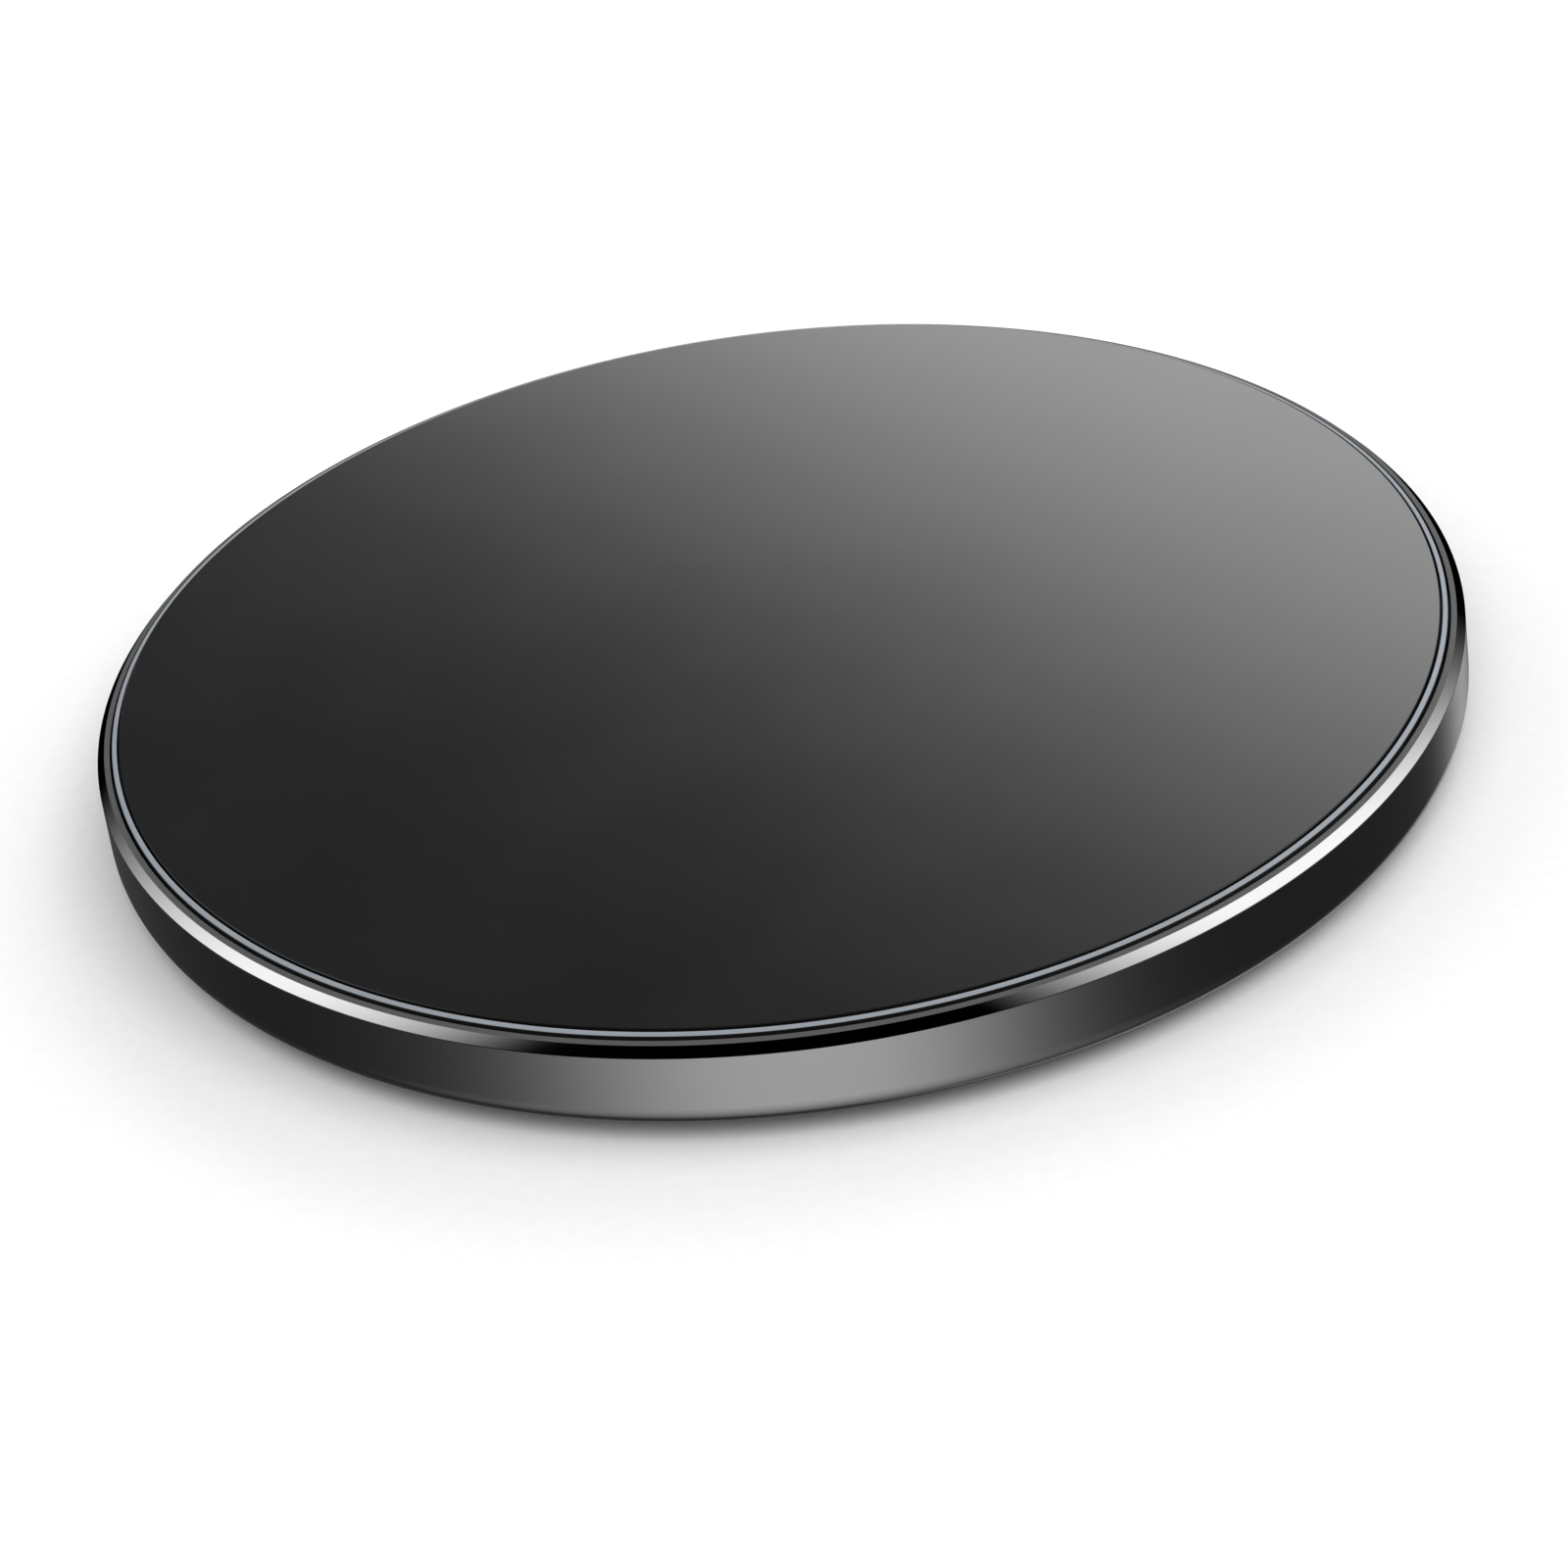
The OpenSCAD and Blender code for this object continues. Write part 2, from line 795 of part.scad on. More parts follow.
module thermal_pad() {
    pad_z = cover_top_z + spreader_t;
    color([0.6, 0.65, 0.75])
        at(THERMAL_PAD_AT, pad_z)
            block([THERMAL_PAD_SIZE[0], THERMAL_PAD_SIZE[1], board_z - pad_z]);
}

module heat_spreader() {
    hole_r = standoff_r + 0.3;
    color([0.75, 0.76, 0.78])
        translate([0, 0, cover_top_z])
            linear_extrude(spreader_t)
                difference() {
                    circle(r = spreader_r);
                    for (a = STANDOFF_ANGLES)
                        at([standoff_pos_r, a])
                            circle(r = hole_r);
                }
}

top_panel();
panel_adhesive();
light_ring();
housing_frame();
bottom_cover();
foot_ring();
case_screws();
main_board();
board_screws();
usb_shell();
usb_tongue();
usb_contacts();
charging_coil();
coil_leads();
ferrite_disc();
coil_carrier();
coil_tape();
foam_pad();
thermistor();
thermistor_leads();
controller_chip();
controller_pins();
power_transistors();
resonant_capacitors();
capacitor_terminals();
filter_capacitors();
filter_terminals();
choke_shield();
choke_core();
chip_resistors();
crystal();
status_lights();
light_lenses();
thermal_pad();
heat_spreader();
solder_joints();
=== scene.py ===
"""Wireless charging pad: finishes, turned outer shells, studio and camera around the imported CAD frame."""
import math

import bmesh
import bpy
from mathutils import Matrix, Vector


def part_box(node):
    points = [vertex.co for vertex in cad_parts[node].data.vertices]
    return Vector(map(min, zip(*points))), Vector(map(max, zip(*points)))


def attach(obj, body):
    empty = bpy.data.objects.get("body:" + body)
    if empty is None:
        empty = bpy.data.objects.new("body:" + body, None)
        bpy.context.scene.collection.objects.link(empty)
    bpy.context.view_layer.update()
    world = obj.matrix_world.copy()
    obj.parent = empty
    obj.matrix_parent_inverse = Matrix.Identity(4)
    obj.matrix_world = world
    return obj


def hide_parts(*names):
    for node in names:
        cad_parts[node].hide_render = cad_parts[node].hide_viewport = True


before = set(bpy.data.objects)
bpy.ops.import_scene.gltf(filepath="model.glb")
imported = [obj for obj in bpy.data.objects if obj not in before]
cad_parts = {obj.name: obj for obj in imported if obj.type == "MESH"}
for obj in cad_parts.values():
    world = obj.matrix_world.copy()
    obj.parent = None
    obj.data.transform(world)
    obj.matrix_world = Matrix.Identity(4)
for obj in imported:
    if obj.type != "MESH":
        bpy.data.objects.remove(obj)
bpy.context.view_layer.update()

MM = 0.001
STEPS = 576  # steps round a turned piece
INNER_STEPS = 144  # the same for a small piece inside
FOOT_STEPS = 288
ARC_STEPS = 5  # steps in a softened edge of an outline
ROUND_STEPS = 14  # steps in a round of ROUND_FROM or more
ROUND_FROM = 0.5

# The pad's own sizes, in millimetres, read from the CAD nodes
PAD_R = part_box("housing_frame")[1].x / MM
FRAME_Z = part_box("housing_frame")[0].z / MM
LIP_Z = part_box("housing_frame")[1].z / MM
RING_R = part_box("light_ring")[1].x / MM
RING_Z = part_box("light_ring")[1].z / MM
PAD_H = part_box("top_panel")[1].z / MM
PANEL_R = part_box("top_panel")[1].x / MM
PANEL_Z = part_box("top_panel")[0].z / MM
FOOT_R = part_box("foot_ring")[1].x / MM
FOOT_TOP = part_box("foot_ring")[1].z / MM

# Sizes that part.scad gives the same pieces, in millimetres and degrees
BORE_R = PAD_R - 2.4
BOTTOM_ROUND = 2.0
GROOVE_R = 48.98
CHAMFER_Z = 6.82
LIP_EDGE_R = 49.4
LIP_FALL = 0.14
PANEL_BEVEL = 0.06
RING_BORE_R = 48.41
RING_FALL = 0.16
LEDGE_Z = 6.15
FLANGE_R = PAD_R - 10
FLANGE_TOP = 6.85
GUIDE_FOOT_AT_R = 41.2
GUIDE_FOOT_R = 1.0
GUIDE_FOOT_Z = 5.05
GUIDE_FOOT_ANGLES = [22.5 + 45 * k for k in range(8)]
TAPPED_R = 0.85
TAPPED_TOP = 5.6
COVER_TOP = 2.2
LUG_AT_R = 44.0
LUG_R = 2.0
LUG_TOP = LEDGE_Z - 0.01
LUG_ANGLES = (45, 135, 225, 315)
WEB_W = 2.4
WEB_BITE = 0.5
PORT_Z = 4.0
PORT_W = 9.30
PORT_H = 3.52
FOOT_W = 4.8
GRIP_W = 0.5
GRIP_DEPTH = 0.2
GRIP_PITCH = 1.2

# Small radii of softened edges, in millimetres
FINE = 0.05
SOFT = 0.3


# ---- outlines and turned meshes ----


def arc_between(before, corner, after, radius):
    """Points of the arc that rounds a corner of an outline, in (r, z)."""
    corner_v = Vector(corner)
    to_before = (Vector(before) - corner_v).normalized()
    to_after = (Vector(after) - corner_v).normalized()
    half = to_before.angle(to_after) / 2
    reach = radius / math.tan(half)
    centre = corner_v + (to_before + to_after).normalized() * (radius / math.sin(half))
    start = corner_v + to_before * reach - centre
    end = corner_v + to_after * reach - centre
    turn = start.angle_signed(end)
    steps = ROUND_STEPS if radius >= ROUND_FROM else ARC_STEPS
    points = []
    for i in range(steps + 1):
        angle = -turn * i / steps
        cos_a, sin_a = math.cos(angle), math.sin(angle)
        points.append(
            (
                centre.x + start.x * cos_a - start.y * sin_a,
                centre.y + start.x * sin_a + start.y * cos_a,
            )
        )
    return points


def rounded(corners, loop=True):
    """An outline in (r, z) from corners (r, z, radius), with each corner rounded by its radius."""
    points = []
    count = len(corners)
    for i, (r, z, radius) in enumerate(corners):
        ends = not loop and i in (0, count - 1)
        if radius <= 0 or ends:
            points.append((r, z))
            continue
        before = corners[i - 1][:2]
        after = corners[(i + 1) % count][:2]
        points.extend(arc_between(before, (r, z), after, radius))
    return points


def turned(name, outline, loop=True, steps=STEPS):
    """A mesh turned round Z from an outline in (r, z). An open outline starts and ends on the axis."""
    bm = bmesh.new()
    columns = []
    poles = {}
    for k in range(steps):
        angle = 2 * math.pi * k / steps
        cos_a, sin_a = math.cos(angle), math.sin(angle)
        column = []
        for i, (r, z) in enumerate(outline):
            if r == 0:
                if i not in poles:
                    poles[i] = bm.verts.new((0, 0, z * MM))
                column.append(poles[i])
            else:
                column.append(bm.verts.new((r * MM * cos_a, r * MM * sin_a, z * MM)))
        columns.append(column)
    spans = len(outline) if loop else len(outline) - 1
    for k in range(steps):
        here, beyond = columns[k], columns[(k + 1) % steps]
        for i in range(spans):
            j = (i + 1) % len(outline)
            ring = [here[i], beyond[i], beyond[j], here[j]]
            corners = [v for n, v in enumerate(ring) if v is not ring[n - 1]]
            bm.faces.new(corners)
    bmesh.ops.recalc_face_normals(bm, faces=bm.faces)
    return as_object(name, bm)


def as_object(name, bm):
    """Makes an object of a bmesh, in the scene, and frees the bmesh."""
    mesh = bpy.data.meshes.new(name)
    bm.to_mesh(mesh)
    bm.free()
    obj = bpy.data.objects.new(name, mesh)
    bpy.context.scene.collection.objects.link(obj)
    return obj


def smooth(obj, sharp_angle=28):
    """Smooth shading with sharp edges above an angle, and normals that the large faces decide."""
    obj.data.shade_smooth()
    obj.data.set_sharp_from_angle(angle=math.radians(sharp_angle))
    weighted = obj.modifiers.new("weighted_normals", "WEIGHTED_NORMAL")
    weighted.mode = "FACE_AREA"
    weighted.keep_sharp = True
    weighted.weight = 100


def combine(obj, tool, operation):
    """Applies a boolean with a tool object, and removes the tool."""
    modifier = obj.modifiers.new("cut", "BOOLEAN")
    modifier.operation = operation
    modifier.solver = "EXACT"
    modifier.object = tool
    graph = bpy.context.evaluated_depsgraph_get()
    mesh = bpy.data.meshes.new_from_object(obj.evaluated_get(graph))
    obj.modifiers.clear()
    old = obj.data
    obj.data = mesh
    mesh.name = obj.name
    bpy.data.meshes.remove(old)
    old_tool = tool.data
    bpy.data.objects.remove(tool)
    bpy.data.meshes.remove(old_tool)


def posts(name, radius, z0, z1, places, sides):
    """Upright round bars of one radius, at (distance, angle) places, as one object."""
    bm = bmesh.new()
    for distance, angle in places:
        a = math.radians(angle)
        shift = Vector((distance * math.cos(a), distance * math.sin(a), (z0 + z1) / 2)) * MM
        bmesh.ops.create_cone(
            bm,
            cap_ends=True,
            segments=sides,
            radius1=radius * MM,
            radius2=radius * MM,
            depth=(z1 - z0) * MM,
            matrix=Matrix.Translation(shift),
        )
    return as_object(name, bm)


def stadium(width, height, steps=20):
    """Points (x, z) round a stadium of this size, centred on the origin."""
    radius = height / 2
    reach = width / 2 - radius
    points = []
    for side, start in ((1, -90), (-1, 90)):
        for i in range(steps + 1):
            a = math.radians(start + 180 * i / steps)
            points.append((side * reach + radius * math.cos(a), radius * math.sin(a)))
    return points


def frame_outside_r(z):
    """Radius of the frame's outside at a height, over the rounded foot and the plain wall."""
    drop = max(0.0, FRAME_Z + BOTTOM_ROUND - z)
    return PAD_R - BOTTOM_ROUND + math.sqrt(BOTTOM_ROUND**2 - drop**2)


def port_cutter():
    """A stadium bar for the slot, which flares at the frame's outer skin for a fine rounded edge."""
    # each ring's growth over the slot, and its depth under the skin; the last ring lies inside the bore
    rings = ((0.30, -0.24), (0.07, -0.01), (0.03, 0.03), (0.008, 0.07), (0.0, 0.12), (0.0, None))
    inner_y = BORE_R - 1.6
    bm = bmesh.new()
    loops = []
    for grow, depth in rings:
        loop = []
        for x, z in stadium(PORT_W + 2 * grow, PORT_H + 2 * grow):
            height = PORT_Z + z
            skin = math.sqrt(frame_outside_r(height) ** 2 - x * x)
            y = inner_y if depth is None else skin - depth
            loop.append(bm.verts.new((x * MM, y * MM, height * MM)))
        loops.append(loop)
    count = len(loops[0])
    for near, far in zip(loops, loops[1:]):
        for i in range(count):
            j = (i + 1) % count
            bm.faces.new((near[i], near[j], far[j], far[i]))
    bm.faces.new(loops[0])
    bm.faces.new(list(reversed(loops[-1])))
    bmesh.ops.recalc_face_normals(bm, faces=bm.faces)
    return as_object("port_cutter", bm)


# ---- procedural finishes ----


def shader(name, base, metallic=0.0, roughness=0.5, **sockets):
    """A new node material with its constant values set on the shader's own sockets."""
    mat = bpy.data.materials.new(name)
    mat.use_nodes = True
    tree = mat.node_tree
    bsdf = tree.nodes["Principled BSDF"]
    bsdf.inputs["Base Color"].default_value = (*base, 1)
    bsdf.inputs["Metallic"].default_value = metallic
    bsdf.inputs["Roughness"].default_value = roughness
    for key, value in sockets.items():
        bsdf.inputs[key.replace("_", " ")].default_value = value
    return mat, tree, bsdf


def object_point(tree):
    """The point on the piece in the row frame, in metres."""
    return tree.nodes.new("ShaderNodeTexCoord").outputs["Object"]


def scaled(tree, vector, scale):
    """A vector multiplied by a scale for each axis."""
    node = tree.nodes.new("ShaderNodeVectorMath")
    node.operation = "MULTIPLY"
    tree.links.new(vector, node.inputs[0])
    node.inputs[1].default_value = scale
    return node.outputs["Vector"]


def math_node(tree, operation, *values):
    """A Math node on numbers or sockets."""
    node = tree.nodes.new("ShaderNodeMath")
    node.operation = operation
    for slot_in, value in zip(node.inputs, values):
        if isinstance(value, (int, float)):
            slot_in.default_value = value
        else:
            tree.links.new(value, slot_in)
    return node.outputs[0]


def turned_point(tree, round_scale, line_scale):
    """A point whose texture runs in fine lines round the Z axis, as tool marks on a turned piece do."""
    point = object_point(tree)
    parts = tree.nodes.new("ShaderNodeSeparateXYZ")
    tree.links.new(point, parts.inputs[0])
    flat = scaled(tree, point, (1, 1, 0))
    length = tree.nodes.new("ShaderNodeVectorMath")
    length.operation = "LENGTH"
    tree.links.new(flat, length.inputs[0])
    along = math_node(tree, "ADD", length.outputs["Value"], parts.outputs["Z"])
    join = tree.nodes.new("ShaderNodeCombineXYZ")
    for axis in ("X", "Y"):
        tree.links.new(math_node(tree, "MULTIPLY", parts.outputs[axis], round_scale), join.inputs[axis])
    tree.links.new(math_node(tree, "MULTIPLY", along, line_scale), join.inputs["Z"])
    return join.outputs[0]


def noise(tree, vector, scale=1.0, detail=3.0, roughness=0.5):
    """Noise, spread to about 0 to 1."""
    node = tree.nodes.new("ShaderNodeTexNoise")
    node.inputs["Scale"].default_value = scale
    node.inputs["Detail"].default_value = detail
    node.inputs["Roughness"].default_value = roughness
    tree.links.new(vector, node.inputs["Vector"])
    return mapped(tree, node.outputs[0], 0.3, 0.7, 0.0, 1.0)


def mapped(tree, value, from_low, from_high, to_low, to_high, style="LINEAR"):
    """A value taken from one range to another by a Map Range node, held at both ends."""
    node = tree.nodes.new("ShaderNodeMapRange")
    node.interpolation_type = style
    node.inputs["From Min"].default_value = from_low
    node.inputs["From Max"].default_value = from_high
    node.inputs["To Min"].default_value = to_low
    node.inputs["To Max"].default_value = to_high
    tree.links.new(value, node.inputs["Value"])
    return node.outputs["Result"]


def two_tone(tree, bsdf, factor, dark, light):
    """Base colour between two tones."""
    mix = tree.nodes.new("ShaderNodeMix")
    mix.data_type = "RGBA"
    mix.inputs["A"].default_value = (*dark, 1)
    mix.inputs["B"].default_value = (*light, 1)
    tree.links.new(factor, mix.inputs["Factor"])
    tree.links.new(mix.outputs["Result"], bsdf.inputs["Base Color"])


def relief(tree, bsdf, height, depth):
    """Bump of this depth in metres."""
    node = tree.nodes.new("ShaderNodeBump")
    node.inputs["Distance"].default_value = depth
    tree.links.new(height, node.inputs["Height"])
    tree.links.new(node.outputs["Normal"], bsdf.inputs["Normal"])


def blended(tree, first, second, share):
    """Two values mixed, with this share of the first."""
    rest = math_node(tree, "MULTIPLY", second, 1 - share)
    return math_node(tree, "MULTIPLY_ADD", first, share, rest)


def grey(level, blue=0.0):
    """A grey, with a little more in its blue."""
    return (level, level, level + blue)


def finish(name, dark, light, rough, grain, relief_depth, patch=150, metallic=0.0):
    """A cloudy two-tone colour, a slightly uneven roughness and a fine grain. Scales are per metre."""
    mat, tree, bsdf = shader(name, dark, metallic, rough[0])
    point = object_point(tree)
    cloud = noise(tree, point, patch, 4)
    fine = noise(tree, point, grain, 2)
    two_tone(tree, bsdf, blended(tree, fine, cloud, 0.5), dark, light)
    tree.links.new(mapped(tree, cloud, 0, 1, *rough), bsdf.inputs["Roughness"])
    relief(tree, bsdf, fine, relief_depth)
    return mat


def turned_metal(name, dark, light, rough, line_scale, relief_depth, metallic=1.0, specular=0.5):
    """Bare, anodised or painted metal with fine tool marks that run round the Z axis."""
    mat, tree, bsdf = shader(name, dark, metallic, rough[0], Specular_IOR_Level=specular)
    lines = noise(tree, turned_point(tree, 25, line_scale), 1.0, 3)
    cloud = noise(tree, object_point(tree), 60, 3)
    two_tone(tree, bsdf, blended(tree, lines, cloud, 0.6), dark, light)
    tree.links.new(mapped(tree, lines, 0, 1, *rough), bsdf.inputs["Roughness"])
    relief(tree, bsdf, lines, relief_depth)
    return mat


def black_glass():
    """Back-painted cover glass: deep neutral black, with a very faint haze that comes and goes."""
    mat, tree, bsdf = shader("black_glass", (0.008, 0.008, 0.0085), 0.0, 0.1, IOR=1.5)
    point = object_point(tree)
    haze = noise(tree, point, 45, 5, 0.6)
    two_tone(tree, bsdf, haze, (0.0072, 0.0072, 0.0077), (0.009, 0.009, 0.0094))
    speck = noise(tree, point, 5200, 1)
    level = blended(tree, speck, haze, 0.25)
    tree.links.new(mapped(tree, level, 0, 1, 0.085, 0.125), bsdf.inputs["Roughness"])
    return mat


def frosted_guide():
    """Frosted, slightly blue light guide, unlit."""
    mat, tree, bsdf = shader("frosted_guide", (0.27, 0.293, 0.317), 0.0, 0.5, Specular_IOR_Level=0.15)
    point = object_point(tree)
    cloud = noise(tree, point, 500, 4)
    two_tone(tree, bsdf, cloud, (0.272, 0.296, 0.320), (0.292, 0.316, 0.340))
    tree.links.new(mapped(tree, cloud, 0, 1, 0.46, 0.56), bsdf.inputs["Roughness"])
    relief(tree, bsdf, noise(tree, point, 16000, 2), 0.000002)
    return mat


def litz_copper():
    """Enamelled litz wire: fine strands that twist round the bundle."""
    mat, tree, bsdf = shader("litz_copper", (0.6, 0.24, 0.1), 1.0, 0.32)
    point = object_point(tree)
    wave = tree.nodes.new("ShaderNodeTexWave")
    wave.bands_direction = "DIAGONAL"
    wave.inputs["Scale"].default_value = 900
    wave.inputs["Distortion"].default_value = 1.2
    tree.links.new(point, wave.inputs["Vector"])
    two_tone(tree, bsdf, wave.outputs["Fac"], (0.36, 0.12, 0.045), (0.78, 0.36, 0.16))
    tree.links.new(mapped(tree, noise(tree, point, 700), 0, 1, 0.26, 0.42), bsdf.inputs["Roughness"])
    relief(tree, bsdf, wave.outputs["Fac"], 0.00003)
    return mat


def board_laminate():
    """Green solder mask over copper: slightly lighter where a track runs beneath."""
    mat, tree, bsdf = shader("board_mask", (0.01, 0.09, 0.045), 0.0, 0.3, IOR=1.5, Coat_Weight=0.4)
    point = object_point(tree)
    cells = tree.nodes.new("ShaderNodeTexVoronoi")
    cells.feature = "DISTANCE_TO_EDGE"
    cells.inputs["Scale"].default_value = 420
    tree.links.new(point, cells.inputs["Vector"])
    track = mapped(tree, cells.outputs["Distance"], 0.04, 0.09, 1.0, 0.0)
    two_tone(tree, bsdf, track, (0.008, 0.075, 0.036), (0.018, 0.15, 0.07))
    tree.links.new(mapped(tree, noise(tree, point, 900), 0, 1, 0.24, 0.36), bsdf.inputs["Roughness"])
    relief(tree, bsdf, track, 0.00002)
    return mat


def finishes():
    """Every material slot's finish, by the record's slot name."""
    made = {
        "panel_glass": black_glass(),
        "light_guide": frosted_guide(),
        "coil_copper": litz_copper(),
        "board_laminate": board_laminate(),
    }
    # dark tone, light tone, roughness, grain per metre, relief in metres, patches per metre, metallic
    plain = {
        "adhesive_film": (grey(0.10), grey(0.14), (0.5, 0.65), 4000, 0.000002, 200, 0.0),
        "cover_plastic": (grey(0.026), grey(0.033), (0.5, 0.62), 5200, 0.000012, 160, 0.0),
        "foot_silicone": (grey(0.045), grey(0.058), (0.68, 0.82), 3600, 0.000006, 220, 0.0),
        "screw_steel": (grey(0.42), grey(0.58), (0.22, 0.36), 3000, 0.000004, 500, 1.0),
        "shell_steel": (grey(0.50, 0.01), grey(0.66, 0.01), (0.24, 0.38), 2600, 0.000003, 300, 1.0),
        "black_nylon": (grey(0.012), grey(0.022), (0.42, 0.55), 4000, 0.000006, 300, 0.0),
        "contact_gold": (
            (0.78, 0.52, 0.18), (0.92, 0.68, 0.30), (0.18, 0.30), 5000, 0.000002, 900, 1.0
        ),
        "ferrite": (grey(0.030), grey(0.060), (0.45, 0.62), 2500, 0.000012, 350, 0.0),
        "white_plastic": (grey(0.62), grey(0.74), (0.42, 0.55), 3500, 0.000005, 150, 0.0),
        "amber_film": (
            (0.42, 0.16, 0.02), (0.62, 0.27, 0.05), (0.18, 0.30), 1500, 0.000003, 200, 0.0
        ),
        "foam": (grey(0.045), grey(0.095), (0.85, 0.98), 1900, 0.00006, 400, 0.0),
        "chip_epoxy": (grey(0.012), grey(0.024), (0.45, 0.60), 5200, 0.000006, 600, 0.0),
        "capacitor_ceramic": (
            (0.24, 0.15, 0.08), (0.36, 0.24, 0.14), (0.40, 0.55), 3600, 0.000006, 500, 0.0
        ),
        "tinned_metal": (grey(0.52), grey(0.72), (0.26, 0.44), 3000, 0.000006, 700, 1.0),
        "lamp_lens": (
            (0.74, 0.66, 0.34), (0.88, 0.80, 0.48), (0.16, 0.26), 3000, 0.000003, 500, 0.0
        ),
        "thermal_silicone": (
            (0.30, 0.34, 0.40), (0.40, 0.44, 0.50), (0.60, 0.75), 2600, 0.00001, 400, 0.0
        ),
        "spreader_metal": (grey(0.55), grey(0.72), (0.28, 0.42), 2600, 0.000004, 120, 1.0),
    }
    for slot_name, values in plain.items():
        made[slot_name] = finish(slot_name + "_finish", *values)
    return made


# ---- the pieces ----


def give(obj, *materials):
    """Puts materials in an object's slots, in order."""
    obj.data.materials.clear()
    for mat in materials:
        obj.data.materials.append(mat)


def stands_for(obj, node):
    """A new piece takes a CAD node's place on the pad's one body."""
    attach(obj, "root")
    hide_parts(node)
    return obj


def gap_shade_paint(name):
    """Matt black that paints the shade of the rim's narrow gaps; on the light guide's sides it is also their
    black masking.
    """
    return finish(name, grey(0.010), grey(0.016), (0.5, 0.62), 9000, 0.000001)


def frame_shell():
    """Turned frame: rounded foot, plain wall, bright chamfer, satin lip, ledge, lugs and the inlet's slot."""
    outline = rounded(
        [
            (BORE_R, FRAME_Z, 0.08),
            (PAD_R, FRAME_Z, BOTTOM_ROUND),
            (PAD_R, CHAMFER_Z, 0.1),
            (LIP_EDGE_R, LIP_Z - LIP_FALL, FINE),
            (GROOVE_R, LIP_Z, FINE),
            (GROOVE_R, LEDGE_Z, 0.0),
            (BORE_R, LEDGE_Z, FINE),
        ]
    )
    obj = turned("frame_shell", outline)
    places = [(LUG_AT_R, a) for a in LUG_ANGLES]
    combine(obj, lug_webs(), "UNION")
    combine(obj, posts("lugs", LUG_R, COVER_TOP, LUG_TOP, places, 64), "UNION")
    combine(obj, port_cutter(), "DIFFERENCE")
    combine(obj, posts("tapped_holes", TAPPED_R, COVER_TOP - 1, TAPPED_TOP, places, 32), "DIFFERENCE")
    give(
        obj,
        turned_metal("frame_wall", grey(0.112), grey(0.128), (0.16, 0.21), 22000, 0.0000006),
        turned_metal("frame_chamfer", grey(0.88), grey(0.94), (0.05, 0.09), 16000, 0.0000002),
        turned_metal("frame_lip", grey(0.077), grey(0.088), (0.55, 0.65), 14000, 0.000001, 0.0, 0.2),
        gap_shade_paint("frame_groove_painted_shade"),
    )
    # zone 3, the groove and the ledge, is matt black: painted shade for the narrow gap beside the light guide
    for face in obj.data.polygons:
        face.material_index = frame_zone(face.center / MM)
    smooth(obj)
    return stands_for(obj, "housing_frame")


def frame_zone(centre):
    """The frame's material at a face's centre: 0 wall, 1 chamfer, 2 lip or 3 groove, whose matt black is
    painted shade.
    """
    distance = math.hypot(centre.x, centre.y)
    if centre.z > CHAMFER_Z + 0.02 and distance > LIP_EDGE_R + 0.006:
        return 1
    if centre.z > LIP_Z - LIP_FALL - 0.04:
        return 2
    if centre.z > LEDGE_Z - 0.02 and distance < GROOVE_R + 0.01:
        return 3
    return 0


def lug_webs():
    """The webs that join the four lugs to the frame's wall."""
    bm = bmesh.new()
    web = (BORE_R - LUG_AT_R + WEB_BITE, WEB_W, LUG_TOP - COVER_TOP)
    for a in LUG_ANGLES:
        turn = Matrix.Rotation(math.radians(a), 4, "Z")
        shift = Matrix.Translation(Vector((LUG_AT_R + web[0] / 2, 0, COVER_TOP + web[2] / 2)) * MM)
        size = Matrix.Diagonal((web[0] * MM, web[1] * MM, web[2] * MM, 1))
        bmesh.ops.create_cube(bm, size=1, matrix=turn @ shift @ size)
    return as_object("lug_webs", bm)


def light_guide_ring():
    """Light guide: flange, thin upstand with softly rounded top, and a foot over each lamp."""
    outline = rounded(
        [
            (FLANGE_R, LEDGE_Z, FINE),
            (RING_R, LEDGE_Z, 0.03),
            (RING_R, RING_Z - RING_FALL, 0.08),
            (RING_BORE_R + 0.05, RING_Z - 0.004, 0.06),
            (RING_BORE_R, RING_Z - 0.06, 0.02),
            (RING_BORE_R, FLANGE_TOP, FINE),
            (FLANGE_R, FLANGE_TOP, FINE),
        ]
    )
    obj = turned("light_guide_ring", outline)
    feet = [(GUIDE_FOOT_AT_R, a) for a in GUIDE_FOOT_ANGLES]
    combine(obj, posts("guide_feet", GUIDE_FOOT_R, GUIDE_FOOT_Z, LEDGE_Z + 0.2, feet, 40), "UNION")
    give(obj, made["light_guide"], gap_shade_paint("guide_side_mask_and_shade"))
    # the sides and the flange's top take matt black: black masking of the guide's sides, and painted shade in
    # the gaps beside the ring
    for face in obj.data.polygons:
        side = abs(face.normal.z) < 0.6
        flange_top = face.normal.z > 0.6 and face.center.z < (FLANGE_TOP + 0.01) * MM
        face.material_index = 1 if side or flange_top else 0
    smooth(obj)
    return stands_for(obj, "light_ring")


def glass_disc():
    """Cover glass with a ground bevel whose two edges are softened."""
    # two rings of points divide the flat top, so that its faces are not long slivers
    outer_ring, inner_ring = 44.0, 24.0
    outline = rounded(
        [
            (0, PANEL_Z, 0),
            (PANEL_R, PANEL_Z, 0.04),
            (PANEL_R, PAD_H - PANEL_BEVEL, 0.03),
            (PANEL_R - PANEL_BEVEL, PAD_H, 0.03),
            (outer_ring, PAD_H, 0),
            (inner_ring, PAD_H, 0),
            (0, PAD_H, 0),
        ],
        loop=False,
    )
    obj = turned("glass_disc", outline, loop=False)
    give(obj, made["panel_glass"])
    smooth(obj)
    return stands_for(obj, "top_panel")


